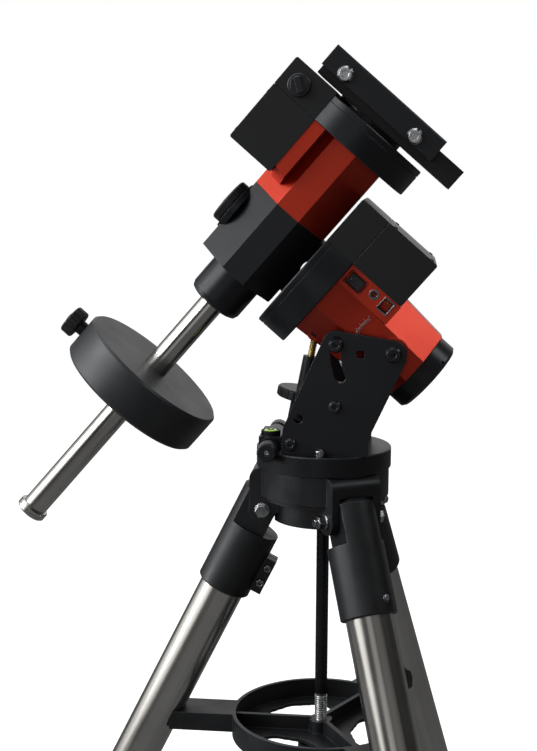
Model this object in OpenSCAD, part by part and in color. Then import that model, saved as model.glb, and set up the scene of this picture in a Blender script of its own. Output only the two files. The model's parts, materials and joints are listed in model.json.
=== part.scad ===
// German equatorial mount with a counterweight on a folding steel tripod.
// Millimetres, +Z up. The origin is on the floor, at the centre of the box round the three feet.
// The polar axis leans towards -X, and the first leg stands under it on the -X side.

/* [Tripod] */
// Height of the azimuth disc's top above the floor
stand_h = 850; // [780:1:1000]
// Angle between a leg and the vertical
leg_splay = 26.3; // [24:0.1:28]
// Distance of a leg hinge from the pier axis
hinge_r = 65; // [62:0.5:68]
// Depth of the leg hinges under the azimuth disc's top
hinge_drop = 69; // [66:0.5:74]
// Outer diameter of the upper leg tubes
leg_tube_d = 50.8; // [44:0.1:54]
// Outer diameter of the lower leg tubes
lower_tube_d = 42; // [36:0.1:45]
// Wall of the leg tubes
tube_wall = 2; // [1.5:0.1:3]
// Outer diameter of a leg cap
leg_cap_d = 61; // [56:0.5:64]
// Length of a leg cap below its hinge
leg_cap_len = 106; // [95:1:125]
// Width of the tongue at the top of a leg cap
tongue_w = 40; // [34:0.5:44]
// Diameter of a hinge bolt
hinge_bolt_d = 8; // [7:0.5:12]
// Diameter of a foot's sole
foot_d = 56; // [50:1:70]
// Diameter of the tripod head
head_d = 144; // [136:1:150]
// Diameter of the centre rod
rod_d = 14; // [10:0.5:16]
// Depth of the spreader's rim under the azimuth disc's top
spreader_drop = 310.6; // [270:1:330]
// Outer diameter of the spreader's ring
spreader_d = 202; // [180:1:214]
// Height of the spreader's ring
spreader_h = 26; // [18:1:32]

/* [Azimuth base] */
// Diameter of the azimuth disc
disc_d = 148.2; // [142:0.1:156]
// Thickness of the azimuth disc
disc_t = 22; // [18:0.5:26]
// Distance from the middle to the inner face of a side plate
plate_inner_y = 48; // [46:0.5:52]
// Thickness of a side plate
plate_t = 12; // [9:0.5:14]
// Distance of the azimuth post from the pier axis
post_r = 56.5; // [54:0.5:60]

/* [Polar axis] */
// Latitude that the head is set to
latitude = 41; // [29:1:44]
// Height of the altitude pivot above the azimuth disc
pivot_z = 109.5; // [104:0.5:118]
// Distance of the altitude pivot from the pier axis
pivot_x = 75.3; // [70:0.5:80]
// Diameter of the polar gear housing
ra_housing_d = 150; // [144:1:158]
// Length of the polar gear housing
ra_housing_len = 36.6; // [32:0.2:44]
// Outer diameter of the hollow polar shaft
ra_shaft_d = 44; // [38:0.5:48]
// Diameter of the polar end cap
polar_cap_d = 84; // [78:1:88]

/* [Declination axis] */
// Distance between the altitude pivot and the declination axis
dec_offset = 180.6; // [180.6:0.2:190]
// Width across the flats of the declination body
dec_body_w = 98; // [90:1:98]
// Width of the front flat of the declination body
dec_flat_w = 29; // [24:1:40]
// Diameter of the declination gear housing
dec_housing_d = 152; // [146:1:160]
// Diameter of the declination shaft
dec_shaft_d = 36; // [30:0.5:40]
// Distance of the saddle's underside from the polar axis
saddle_z = 163.5; // [163:0.5:175]
// Width of the dovetail bar that the saddle takes, at its widest
dovetail_w = 75; // [60:1:76]

/* [Counterweight] */
// Diameter of the counterweight
weight_d = 174; // [140:1:180]
// Thickness of the counterweight
weight_t = 45; // [30:1:60]
// Distance of the counterweight's near face from the polar axis
weight_drop = 193.4; // [185:1:230]
// Diameter of the counterweight shaft
shaft_d = 28; // [20:0.5:30]
// Distance of the counterweight shaft's free end from the polar axis
shaft_end = 407; // [380:1:460]

/* [Clearances] */
// Radial clearance of a running fit
fit = 0.05; // [0.02:0.01:0.09]
// Gap between pieces that move past each other
gap = 0.4; // [0.3:0.05:0.8]
// Gap between covers and the castings under them
seat = 0.15; // [0.1:0.05:0.3]

/* [Hidden] */

$fn = 48;
eps = 0.01;
black = "#1b1b1d";
red = "#b3231b";
steel = "#c9c9cc";
brass = "#c9a23c";

// Tripod
leg_angles = [180, -60, 60];
hinge_h = stand_h - hinge_drop;
leg_len = hinge_h / cos(leg_splay);
foot_circle_r = hinge_r + hinge_h * tan(leg_splay);
pier_x = foot_circle_r / 4;
foot_h = 9;
head_top = -disc_t - 0.3;
head_bottom = -53;
fork_w = tongue_w + 18;
fork_out = 14.5;
fork_ceiling = -42;
fork_round = 12;
fork_eye_r = 15;
skirt_r = 56;
skirt_bottom = -82;
shoulder_drop = 29;
tongue_top = 16.7;
tongue_inner = 15;
clamp_ear_w = 22;
clamp_ear_out = 11;
clamp_ear_len = 42;
clamp_ear_up = 12;
clamp_screws = [24.5, 43.5];
clamp_slit = 2;
collar_top = leg_len - 136;
collar_len = 55;
collar_wall = 5.6;
tube_end = collar_top + 25;
lower_tube_top = leg_len - 571;
foot_neck_r = 14;
foot_neck_len = 24;
boot_wall = 4;
boot_floor = 6;
boot_top = 58;
lower_tube_end = leg_len - foot_neck_len - boot_floor;
bush_len = 15;
lock_z = collar_top + 40;
lock_d = 8;
lock_head_r = 15;
rod_top = -45;
rod_thread_top = -287.5;
rod_end = -372;
thread_pitch = 2.5;
thread_depth = 0.7;
hub_r = 13;
spreader_wall = 4;
spreader_floor = 4;
spreader_bottom = -spreader_drop - spreader_h;
arm_w = 42;
arm_raise = 5;
arm_reach = 172;

// Azimuth base
peg_r = 5;
azimuth_travel = 8;
post_slot_y = 14;
lock_circle_r = 66;
azimuth_slide = post_r * sin(azimuth_travel) + gap;
lock_screw_r = 3;
lock_head = 5.2;
lock_sink = 2.5;
block_w = 24;
block_top = 14;
block_front = 36;
level_y = -24;
az_screw_z = 3.5;
az_screw_r = 4;
az_boss_end = 41;
az_knob_r = 10.5;
az_knob_start = 51.5;
az_knob_len = 20;
az_boss_r = 10.4;
vial_r = 8.5;
lock_bolt = [-51.3, -32.6];
lock_bolt_r = 5;
slot_r = norm(lock_bolt);
slot_from = 168;
slot_to = 205;
pivot_bolt_r = 6;
tie_bolt = [15, 52.8];
jack_axle = [-31.8, 11.2];
spare_axle = [-23.5, 39];
axle_r = 5;

// Jack, between its axle and a pin under the polar body
jack_pin = [-75.1, -43.5];
jack_pin_r = 4;
jack_pin_x = pivot_x + jack_pin[0] * cos(latitude) + jack_pin[1] * sin(latitude);
jack_pin_z = pivot_z - jack_pin[0] * sin(latitude) + jack_pin[1] * cos(latitude);
jack_len = norm([jack_pin_x - jack_axle[0], jack_pin_z - jack_axle[1]]);
jack_tilt = atan2(jack_pin_x - jack_axle[0], jack_pin_z - jack_axle[1]);
wheel_z = 40;
wheel_t = 11;
wheel_r = 29;
jack_tube_r = 8.5;
jack_tube_top = jack_len - 28.5;
jack_spigot_top = 60;
jack_screw_low = jack_len - 36;
eye_r = 7.5;
eye_w = 11;

// Polar axis; X runs down the axis from the altitude pivot, Z towards the saddle
dec_half = dec_body_w / 2;
ra_face = -dec_offset + dec_half + gap;
ra_shoulder = ra_face + ra_housing_len;
ra_south = 29.6;
ra_half_y = plate_inner_y - gap;
wheel_gap = 0.8;
ra_wheel_d = 118;
wheel_thick = 14;
cavity_wall = 12;
front_wall = 3;
ra_flange_r = ra_shaft_d / 2 + 8;
worm_r = 8;
box_y = 62;
ra_box_low = 42;
ra_box_top = 99;
ra_box_south = -28;
box_wall = 3;
box_round = 2.5;
groove = 0.8;
cap_len = 22;
neck_len = 10;
neck_r = polar_cap_d / 2 - 5;
panel_front = 58;
panel_low = 18;
switch_x = -80;
switch_z = 33;
switch_l = 20;
switch_w = 13;
switch_rock = 16;
switch_pivot_r = 3;
jack_x = -57;
socket_x = -40;
socket_w = 12;
socket_h = 14;
scope_r = ra_shaft_d / 2 - 5;

// Declination axis; Z runs up the axis from the polar axis
collar_low = -96;
collar_r = 31;
flange_t = 3.2;
flange_r = 36;
body_low = -52.5;
body_split = 35.5;
body_top = 126;
dec_housing_top = 158;
dec_box_north = -96.8;
dec_box_south = -41;
dec_box_low = 56;
dec_box_top = saddle_z - 1.7;
dec_wheel_d = 118;
hub_hole_r = 42;
front_cap_r = 24.8;
saddle_t = 23.5;
saddle_half = 40;
saddle_south = 108.6;
saddle_north = -73;
jaw_south = 75;
jaw_y = 62;
jaw_low = 9;
jaw_top = 34.2;
jaw_lip = 4;
jaw_screw_x = [-47.5, 46.7];
jaw_screw_z = 21.8;
jaw_travel = 8;

// Frames
module pier() translate([pier_x, 0, stand_h]) children();

module leg(i) pier() rotate([0, 0, leg_angles[i]])
  translate([hinge_r, 0, -hinge_drop]) rotate([0, -leg_splay, 0]) children();

module on_jack() pier() translate([jack_axle[0], 0, jack_axle[1]])
  rotate([0, jack_tilt, 0]) children();

module on_head() pier() translate([pivot_x, 0, pivot_z]) rotate([0, latitude, 0]) children();

module on_dec() on_head() translate([-dec_offset, 0, 0]) children();

// Shape helpers
module cyl_y(r, y0, y1) translate([0, y1, 0]) rotate([90, 0, 0]) cylinder(r = r, h = y1 - y0);

module cyl_x(r, x0, x1) translate([x0, 0, 0]) rotate([0, 90, 0]) cylinder(r = r, h = x1 - x0);

module cyl_z(r, z0, z1) translate([0, 0, z0]) cylinder(r = r, h = z1 - z0);

module box(low, high) translate(low) cube(high - low);

// A box whose four edges along Y are rounded
module soft_box(low, high, r) translate([0, high[1], 0]) rotate([90, 0, 0]) linear_extrude(high[1] - low[1])
  translate([low[0] + r, low[2] + r]) offset(r) square([high[0] - low[0] - 2 * r, high[2] - low[2] - 2 * r]);

// A disc with a chamfer on both rims
module chamfered(r, z0, z1, c) rotate_extrude()
  polygon([[0, z0], [r - c, z0], [r, z0 + c], [r, z1 - c], [r - c, z1], [0, z1]]);

// A ring groove round a cylinder of radius r at height z
module ring_groove(r, z) difference() {
  cyl_z(r + 1, z - groove / 2, z + groove / 2);
  cyl_z(r - groove, z - groove, z + groove);
}

// A slot along an arc about Z
module arc_slot(r, half_w, a0, a1, h) {
  rotate([0, 0, a0]) rotate_extrude(angle = a1 - a0) translate([r - half_w, 0]) square([2 * half_w, h]);
  for (a = [a0, a1]) rotate([0, 0, a]) translate([r, 0, 0]) cylinder(r = half_w, h = h);
}

// A threaded rod, shown as a stack of ridges
module thread(r, z0, z1, pitch = thread_pitch) {
  turns = floor((z1 - z0) / pitch);
  cyl_z(r - thread_depth, z0, z1);
  for (k = [0 : turns - 1]) cyl_z(r, z0 + k * pitch, z0 + (k + 0.5) * pitch);
}

// A hand knob with flutes, along Z
module fluted_knob(r, z0, z1, count = 12, flute = 2) difference() {
  chamfered(r, z0, z1, 1.5);
  for (k = [0 : count - 1]) rotate([0, 0, k * 360 / count]) translate([r + flute * 0.5, 0, 0])
    cyl_z(flute, z0 - 1, z1 + 1);
}

// A button-head bolt head with a hexagon socket, along Z, from z0 up
module button_head(r, h, socket) difference() {
  rotate_extrude() polygon([[0, 0], [r, 0], [r, h * 0.5], [r * 0.75, h], [0, h]]);
  translate([0, 0, h * 0.45]) cylinder(r = socket, h = h, $fn = 6);
}

module octagon(half_x, half_y, sum) polygon([
  [half_x, sum - half_x], [sum - half_y, half_y], [half_y - sum, half_y], [-half_x, sum - half_x],
  [-half_x, half_x - sum], [half_y - sum, -half_y], [sum - half_y, -half_y], [half_x, half_x - sum]
]);

// Tripod
module fork_profile() {
  top = head_top;
  out = hinge_r + fork_out;
  translate([skirt_r - 12, fork_ceiling - 30]) square([out - skirt_r + 12, top - fork_round - fork_ceiling + 30]);
  translate([skirt_r - 12, top - fork_round - eps]) square([out - fork_round - skirt_r + 12, fork_round + eps]);
  translate([out - fork_round, top - fork_round]) circle(fork_round);
  translate([hinge_r, -hinge_drop]) circle(fork_eye_r);
  translate([hinge_r - fork_eye_r, -hinge_drop]) square([2 * fork_eye_r - 0.5, 30]);
}

module tripod_head() color(black) pier() difference() {
  union() {
    cyl_z(head_d / 2, head_bottom, head_top);
    cyl_z(head_d / 2 - 5, head_bottom - 5, head_bottom + eps);
    cyl_z(skirt_r, skirt_bottom, head_bottom);
    for (a = leg_angles) rotate([0, 0, a]) translate([0, fork_w / 2, 0]) rotate([90, 0, 0])
      linear_extrude(fork_w) fork_profile();
    translate([-post_r, 0, 0]) cyl_z(peg_r, head_top - 1, block_top - 2);
  }
  cyl_z(skirt_r - 8, skirt_bottom - 1, head_bottom - 8);
  cyl_z(rod_d / 2 + fit, skirt_bottom, rod_top);
  for (a = leg_angles) rotate([0, 0, a]) {
    box([22, -tongue_w / 2 - gap, skirt_bottom - 10], [hinge_r + 40, tongue_w / 2 + gap, fork_ceiling]);
    translate([hinge_r, 0, -hinge_drop]) cyl_y(hinge_bolt_d / 2, -fork_w, fork_w);
  }
  for (s = [-1, 1]) translate([0, s * lock_circle_r, head_top - 16]) cylinder(r = lock_screw_r, h = 20);
}

module hinge_bolt() {
  half = fork_w / 2;
  cyl_y(hinge_bolt_d / 2, -half - 14, half + 4);
  cyl_y(hinge_bolt_d, -half - 2, -half);
  cyl_y(hinge_bolt_d, half, half + 2);
  translate([0, -half - 2, 0]) rotate([90, 0, 0]) cylinder(r = hinge_bolt_d * 0.9, h = 8, $fn = 6);
  translate([0, half + 2 + 7, 0]) rotate([90, 0, 0]) cylinder(r = hinge_bolt_d * 0.9, h = 7, $fn = 6);
}

module tripod_bolts() color(steel) pier() {
  for (a = leg_angles) rotate([0, 0, a]) translate([hinge_r, 0, -hinge_drop]) hinge_bolt();
  for (s = [-1, 1]) translate([0, s * lock_circle_r, 0]) {
    cyl_z(lock_screw_r, head_top - 15, 1 - lock_sink);
    translate([0, 0, gap - lock_sink]) difference() {
      chamfered(lock_head, 0, 9, 0.6);
      translate([0, 0, 5]) cylinder(r = 2.8, h = 6, $fn = 6);
    }
  }
}

module centre_rod() color(black) pier() {
  cyl_z(rod_d / 2, rod_thread_top, rod_top);
  thread(rod_d / 2, rod_end, rod_thread_top);
}

module spreader() color(black) difference() {
  pier() difference() {
    union() {
      difference() {
        cyl_z(spreader_d / 2, spreader_bottom, -spreader_drop);
        cyl_z(spreader_d / 2 - spreader_wall, spreader_bottom + spreader_floor, -spreader_drop + 1);
      }
      cyl_z(hub_r, spreader_bottom, -spreader_drop - 8);
      for (a = leg_angles) rotate([0, 0, a]) {
        box([hub_r - 2, -2.5, spreader_bottom], [spreader_d / 2 - 2, 2.5, -spreader_drop - 6]);
        box([spreader_d / 2 - 4, -arm_w / 2, spreader_bottom + arm_raise], [arm_reach, arm_w / 2, -spreader_drop]);
      }
    }
    for (a = leg_angles) rotate([0, 0, a]) {
      rotate([0, 0, 60]) translate([58, 0, spreader_bottom - 1]) rotate([0, 0, 90])
        for (k = [-1 : 0.5 : 1]) translate([k * 22, 0, 0]) cylinder(r = 24 - 6 * abs(k), h = spreader_floor + 2);
      box([spreader_d / 2 + 2, -arm_w / 2 + 5, spreader_bottom - 1], [spreader_d / 2 + 36, arm_w / 2 - 5, -spreader_drop - 6]);
    }
    cyl_z(rod_d / 2 + fit, spreader_bottom - 1, 0);
  }
  for (i = [0 : 2]) leg(i) cyl_z(leg_tube_d / 2 + gap, -leg_len, -leg_cap_len);
}

module spreader_knob() color(black) pier() difference() {
  union() {
    fluted_knob(26, spreader_bottom - gap - 24, spreader_bottom - gap - 6, 6, 7);
    cyl_z(12, spreader_bottom - gap - 8, spreader_bottom - gap);
  }
  cyl_z(rod_d / 2 + fit, spreader_bottom - 40, 0);
}

module leg_cap(i) color(black) leg(i) difference() {
  union() {
    rotate_extrude() polygon([[0, -leg_cap_len], [leg_cap_d / 2 - 1.5, -leg_cap_len],
      [leg_cap_d / 2, -leg_cap_len + 1.5], [leg_cap_d / 2, tongue_top - 4], [leg_cap_d / 2 - 4, tongue_top], [0, tongue_top]]);
    box([-leg_cap_d / 2 - clamp_ear_out, -clamp_ear_w / 2, -leg_cap_len + clamp_ear_up],
      [-leg_tube_d / 2, clamp_ear_w / 2, -leg_cap_len + clamp_ear_up + clamp_ear_len]);
  }
  for (s = [-1, 1]) translate([0, s * (tongue_w / 2 + 20), 0])
    box([-50, -20, -shoulder_drop], [50, 20, tongue_top + 10]);
  difference() {
    box([-50, -tongue_w, -shoulder_drop], [0, tongue_w, tongue_top + 10]);
    cyl_y(tongue_inner, -tongue_w, tongue_w);
    box([-tongue_inner, -tongue_w, -shoulder_drop - 5], [1, tongue_w, 0]);
  }
  cyl_z(leg_tube_d / 2, -leg_cap_len - 1, -shoulder_drop - 4);
  cyl_y(hinge_bolt_d / 2 + fit, -tongue_w, tongue_w);
  box([-leg_cap_d, -clamp_slit / 2, -leg_cap_len - 1], [-10, clamp_slit / 2, -leg_cap_len + clamp_ear_up + clamp_ear_len + 6]);
  for (z = clamp_screws) translate([-leg_cap_d / 2 - clamp_ear_out / 2, 0, -leg_cap_len + z]) {
    cyl_y(2.5, -clamp_ear_w, clamp_ear_w);
    cyl_y(4.5, -clamp_ear_w, -clamp_ear_w / 2 + 4);
  }
}

module leg_tube(i) color(steel) leg(i) difference() {
  cyl_z(leg_tube_d / 2, -tube_end, -shoulder_drop - 4);
  cyl_z(leg_tube_d / 2 - tube_wall, -tube_end - 1, 0);
}

module leg_collar(i) color(black) leg(i) difference() {
  union() {
    chamfered(leg_tube_d / 2 + collar_wall, -collar_top - collar_len, -collar_top, 2);
    translate([0, 0, -lock_z]) cyl_x(11, 15, leg_tube_d / 2 + collar_wall + 9);
  }
  cyl_z(leg_tube_d / 2, -tube_end, -collar_top + 1);
  cyl_z(lower_tube_d / 2 + fit, -collar_top - collar_len - 1, -tube_end + 1);
  translate([0, 0, -lock_z]) cyl_x(lock_d / 2 + fit, 0, 60);
}

module leg_lock(i) color(black) leg(i) translate([0, 0, -lock_z]) rotate([0, 90, 0]) {
  cyl_z(lock_d / 2, lower_tube_d / 2 + gap, leg_tube_d / 2 + collar_wall + 12);
  fluted_knob(lock_head_r, leg_tube_d / 2 + collar_wall + 11, leg_tube_d / 2 + collar_wall + 27, 6, 4);
}

module lower_tube(i) color(steel) leg(i) difference() {
  union() {
    cyl_z(lower_tube_d / 2, -lower_tube_end, -lower_tube_top);
    cyl_z(leg_tube_d / 2 - tube_wall - 3 * fit, -lower_tube_top - bush_len, -lower_tube_top);
  }
  cyl_z(lower_tube_d / 2 - tube_wall, -lower_tube_end - 1, 0);
}

module foot(i) color(black) difference() {
  union() {
    leg(i) chamfered(lower_tube_d / 2 + boot_wall, -leg_len + foot_neck_len, -leg_len + boot_top, 2);
    leg(i) cyl_z(foot_neck_r, -leg_len + 7, -leg_len + foot_neck_len + 1);
    pier() rotate([0, 0, leg_angles[i]]) translate([foot_circle_r, 0, -stand_h]) chamfered(foot_d / 2, 0, foot_h, 2);
  }
  leg(i) cyl_z(lower_tube_d / 2, -lower_tube_end, 0);
}

// Azimuth base
module azimuth_base() color(black) pier() difference() {
  chamfered(disc_d / 2, -disc_t, 0, 1);
  cyl_z(rod_d / 2 + 6, -disc_t - 1, 1);
  box([-post_r - peg_r - 2, -post_slot_y, -disc_t - 1], [-post_r + peg_r + 2, post_slot_y, 1]);
  for (s = [-1, 1]) rotate([0, 0, s * 90]) {
    translate([0, 0, -disc_t - 1])
      arc_slot(lock_circle_r, lock_screw_r + 0.5, -azimuth_travel, azimuth_travel, disc_t + 2);
    translate([0, 0, -lock_sink])
      arc_slot(lock_circle_r, lock_head + gap, -azimuth_travel, azimuth_travel, lock_sink + 1);
  }
  translate([-post_r, 0, az_screw_z]) cyl_y(az_screw_r + gap, -disc_d / 2, disc_d / 2);
  for (s = [0, 1]) mirror([0, s, 0]) translate([-post_r, 0, az_screw_z])
    cyl_y(az_knob_r + 1, az_knob_start - azimuth_slide - 1, disc_d / 2);
}

module plate_outline() {
  polygon([[-41.5, 0], [-41.5, 12], [-40, 29], [1.5, 124], [14, 133.4],
    [pivot_x + 3, pivot_z + 14.2], [pivot_x + 14, pivot_z - 6], [51.5, 21], [50.5, 0]]);
  translate([15.4, 118.6]) circle(15);
  translate([pivot_x, pivot_z]) circle(14);
}

module side_plate() difference() {
  translate([0, plate_t, 0]) rotate([90, 0, 0]) linear_extrude(plate_t) plate_outline();
  translate([pivot_x, 0, pivot_z]) cyl_y(pivot_bolt_r + fit, -1, plate_t + 1);
  translate([pivot_x, plate_t + 1, pivot_z]) rotate([90, 0, 0])
    arc_slot(slot_r, lock_bolt_r + 0.6, slot_from, slot_to, plate_t + 2);
  for (p = [tie_bolt, jack_axle, spare_axle]) translate([p[0], 0, p[1]]) cyl_y(axle_r, -1, plate_t + 1);
  box([37, -1, 105], [45, plate_t + 1, 113]);
}

module side_plates() color(black) pier() {
  translate([0, -plate_inner_y - plate_t, 0]) side_plate();
  translate([0, plate_inner_y, 0]) side_plate();
}

module bolt_across(r, head) {
  reach = plate_inner_y + plate_t;
  cyl_y(r, -reach - 1, reach + 1);
  translate([0, -reach, 0]) rotate([90, 0, 0]) button_head(head, 4, 3);
  translate([0, reach, 0]) rotate([-90, 0, 0]) button_head(head, 4, 3);
}

module plate_bolts() color(black) pier() {
  translate([tie_bolt[0], 0, tie_bolt[1]]) bolt_across(axle_r, 6.8);
  translate([jack_axle[0], 0, jack_axle[1]]) bolt_across(axle_r, 6.8);
}

module azimuth_block() color(black) pier() difference() {
  union() {
    box([-post_r - block_w / 2, -block_front, 0], [-post_r + block_w / 2, post_slot_y + 12, block_top]);
    translate([-post_r, 0, az_screw_z]) cyl_y(az_boss_r, -az_boss_end, az_boss_end);
    translate([-post_r, level_y, 0]) cyl_z(vial_r + 2, 0, block_top + 2);
  }
  box([-post_r - peg_r - 2, -post_slot_y, -30], [-post_r + peg_r + 2, post_slot_y, block_top - 1.5]);
  translate([-post_r, 0, az_screw_z]) cyl_y(az_screw_r + fit, -az_boss_end - 1, az_boss_end + 1);
  translate([-post_r, level_y, 0]) cyl_z(vial_r, block_top - 0.5, block_top + 10);
  box([-100, -60, -30], [-20, 60, 0]);
}

module level_vial() color("#a8d820") pier() translate([-post_r, level_y, 0])
  rotate_extrude() polygon([[0, block_top - 0.5], [vial_r, block_top - 0.5], [vial_r, block_top + 4.5],
    [vial_r - 2, block_top + 6], [0, block_top + 6.6]]);

module azimuth_screw(side) color(black) pier() translate([-post_r, 0, az_screw_z])
  rotate([0, 0, side > 0 ? 180 : 0]) rotate([90, 0, 0]) {
    cyl_z(az_screw_r, peg_r + gap, az_knob_start + 1);
    difference() {
      fluted_knob(az_knob_r, az_knob_start, az_knob_start + az_knob_len, 20, 0.8);
      translate([0, 0, az_knob_start + az_knob_len - 5]) cylinder(r = 3.5, h = 6, $fn = 6);
    }
  }

module azimuth_screw_front() azimuth_screw(-1);

module azimuth_screw_rear() azimuth_screw(1);

// Altitude jack
module jack_yoke() color(black) on_jack() difference() {
  union() {
    cyl_y(10, -18, 18);
    box([-8, -18, 0], [8, 18, 20]);
    chamfered(12, 15, wheel_z - gap, 2);
    cyl_z(5, wheel_z - 2, jack_spigot_top);
  }
  cyl_y(axle_r + fit, -20, 20);
}

module jack_wheel() color(black) on_jack() difference() {
  union() {
    fluted_knob(wheel_r, wheel_z, wheel_z + wheel_t, 24, 1.6);
    cyl_z(jack_tube_r, wheel_z, jack_tube_top);
  }
  cyl_z(5 + fit, wheel_z - 1, jack_spigot_top + gap);
  cyl_z(4 + fit, wheel_z, jack_tube_top + 1);
}

module jack_screw() color(brass) on_jack() difference() {
  union() {
    thread(4, jack_screw_low, jack_len - eye_r + 1.5, 2);
    translate([0, 0, jack_len]) cyl_y(eye_r, -eye_w / 2, eye_w / 2);
  }
  translate([0, 0, jack_len]) cyl_y(jack_pin_r + 1.6, -eye_w, eye_w);
}

// Polar axis
module ra_solid() hull() {
  translate([ra_shoulder + eps, 0, 0]) rotate([90, 0, 90]) linear_extrude(0.1) octagon(ra_half_y, 53.5, 66);
  translate([ra_south, 0, 0]) rotate([90, 0, 90]) linear_extrude(0.1) octagon(43.5, 43.5, 57);
}

module ra_body() color(red) on_head() difference() {
  union() {
    ra_solid();
    cyl_x(neck_r, ra_south, ra_south + neck_len);
    for (s = [0, 1]) mirror([0, s, 0]) {
      cyl_y(16, 30, ra_half_y);
      translate([lock_bolt[0], 0, lock_bolt[1]]) cyl_y(11, 10, ra_half_y);
    }
    translate([jack_pin[0], 0, jack_pin[1]]) cyl_y(9, -16, 16);
  }
  cyl_x(ra_shaft_d / 2 + 3, ra_shoulder - 1, ra_south - 14);
  cyl_x(ra_shaft_d / 2 + fit, ra_shoulder, ra_south + neck_len + 1);
  for (s = [0, 1]) mirror([0, s, 0]) {
    cyl_y(pivot_bolt_r, ra_half_y - 16, ra_half_y + 1);
    translate([lock_bolt[0], 0, lock_bolt[1]]) cyl_y(lock_bolt_r, ra_half_y - 20, ra_half_y + 1);
  }
  box([jack_pin[0] - 13, -eye_w / 2 - 1, jack_pin[1] - 30], [jack_pin[0] + 13, eye_w / 2 + 1, jack_pin[1] + 10]);
  translate([jack_pin[0], 0, jack_pin[1]]) cyl_y(jack_pin_r, -20, 20);
}

module altitude_bolts() color(black) on_head() {
  reach = plate_inner_y + plate_t + gap;
  for (s = [0, 1]) rotate([90, 0, 0]) mirror([0, 0, s]) {
    cyl_z(pivot_bolt_r, ra_half_y - 15, reach + 1);
    translate([0, 0, reach]) button_head(8.6, 5, 3.5);
    translate([lock_bolt[0], lock_bolt[1], 0]) {
      cyl_z(lock_bolt_r, ra_half_y - 19, reach + 1);
      translate([0, 0, reach]) button_head(8, 5, 3.5);
    }
  }
  translate([jack_pin[0], 0, jack_pin[1]]) cyl_y(jack_pin_r, -16, 16);
}

module ra_gear_housing() color(black) on_head() difference() {
  translate([ra_face, 0, 0]) rotate([0, 90, 0]) chamfered(ra_housing_d / 2, 0, ra_housing_len, 1.2);
  cyl_x(ra_wheel_d / 2 + 3, ra_face + front_wall, ra_shoulder - cavity_wall);
  cyl_x(ra_flange_r + 1, ra_face - 1, ra_face + front_wall + 1);
  cyl_x(ra_shaft_d / 2 + 3, ra_face, ra_shoulder + 1);
  translate([ra_face, 0, 0]) rotate([0, 90, 0]) ring_groove(ra_housing_d / 2, 7);
  box([ra_face + 3, -40, 40], [ra_shoulder - cavity_wall, 40, ra_housing_d]);
}

module ra_motor_cover() color(black) on_head() difference() {
  soft_box([ra_face, -box_y, ra_box_low], [ra_box_south, box_y, ra_box_top], box_round);
  difference() {
    box([ra_face + box_wall, -box_y + box_wall, ra_box_low - 1], [ra_box_south - box_wall, box_y - box_wall, ra_box_top - box_wall]);
    cyl_x(ra_housing_d / 2 + seat, ra_face - 1, ra_shoulder + 1);
  }
  cyl_x(ra_housing_d / 2 + seat, ra_face - 1, ra_shoulder + seat);
  ra_solid();
  difference() {
    box([ra_shoulder - groove, -100, 0], [ra_shoulder, 100, 200]);
    box([ra_shoulder - 2, -box_y + groove, 0], [ra_shoulder + 1, box_y - groove, ra_box_top - groove]);
  }
  translate([-98, 0, 80]) cyl_y(4 + fit, box_y - 10, box_y + 1);
}

module ra_clutch_knob() color(black) on_head() translate([-98, 0, 80]) clutch_knob(box_y, 1);

// A clutch knob on a shaft along Y, with a pointer bar
module clutch_knob(y, side) rotate([0, 0, side > 0 ? 180 : 0]) rotate([90, 0, 0]) {
  cyl_z(4, y - 8, y + 2);
  chamfered(12, y + gap, y + 5, 1);
  difference() {
    chamfered(9, y + 4, y + 9, 1);
    for (s = [0, 1]) mirror([0, s, 0]) box([-10, 3, y + 5.5], [10, 12, y + 12]);
  }
}

module control_panel() color(red) on_head() difference() {
  box([ra_shoulder + seat, -panel_front, panel_low], [ra_box_south + 1, -20, ra_box_low - seat]);
  ra_solid();
  translate([switch_x, 0, switch_z - 3]) box([-switch_l / 2, -panel_front - 1, -switch_w / 2],
    [switch_l / 2, -panel_front + 9, switch_w / 2]);
  translate([jack_x, 0, switch_z]) cyl_y(5, -panel_front - 1, -panel_front + 10);
  translate([socket_x, 0, switch_z - 1]) box([-socket_w / 2, -panel_front - 1, -socket_h / 2],
    [socket_w / 2, -panel_front + 12, socket_h / 2]);
}

module power_switch() color(black) on_head() translate([switch_x, -panel_front + 4, switch_z - 3]) {
  half = switch_w / 2 - 1;
  intersection() {
    box([-switch_l / 2 + 1.5, -10, -half], [switch_l / 2 - 1.5, 4.5, half]);
    rotate([0, 0, -switch_rock / 2]) box([-9, -5.5, -half], [9, 1, half]);
  }
  cyl_z(switch_pivot_r, -half, half);
}

module polar_cap() color(black) on_head() difference() {
  translate([ra_south + gap, 0, 0]) rotate([0, 90, 0]) rotate_extrude() polygon([
    [0, 0], [polar_cap_d / 2, 0], [polar_cap_d / 2, cap_len - 4], [polar_cap_d / 2 - 4, cap_len - 1],
    [polar_cap_d / 2 - 10, cap_len], [0, cap_len]]);
  cyl_x(neck_r + fit, ra_south - 1, ra_south + neck_len + gap);
  cyl_x(scope_r + 4, ra_south, ra_south + cap_len - 4);
  translate([ra_south + 17, -30, 22]) rotate([36, 0, 0]) cyl_z(1.4, 1, 12);
}

module worm(r, half) {
  cyl_y(r * 0.5, -half, half);
  for (k = [-4 : 4]) translate([0, k * 4, 0]) cyl_y(r, -1, 1);
  cyl_y(r * 0.75, -18, 18);
}

module ra_worm() color(steel) on_head()
  translate([ra_face + 4 + wheel_thick / 2, 0, ra_wheel_d / 2 + worm_r + wheel_gap]) worm(worm_r, 34);

module ra_shaft() color(steel) on_head() difference() {
  union() {
    cyl_x(ra_shaft_d / 2, ra_face - gap, ra_south + neck_len - 2);
    cyl_x(ra_flange_r, ra_face - gap, ra_face + front_wall + 0.5);
  }
  cyl_x(scope_r, ra_face - 2, ra_south + neck_len);
}

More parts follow.
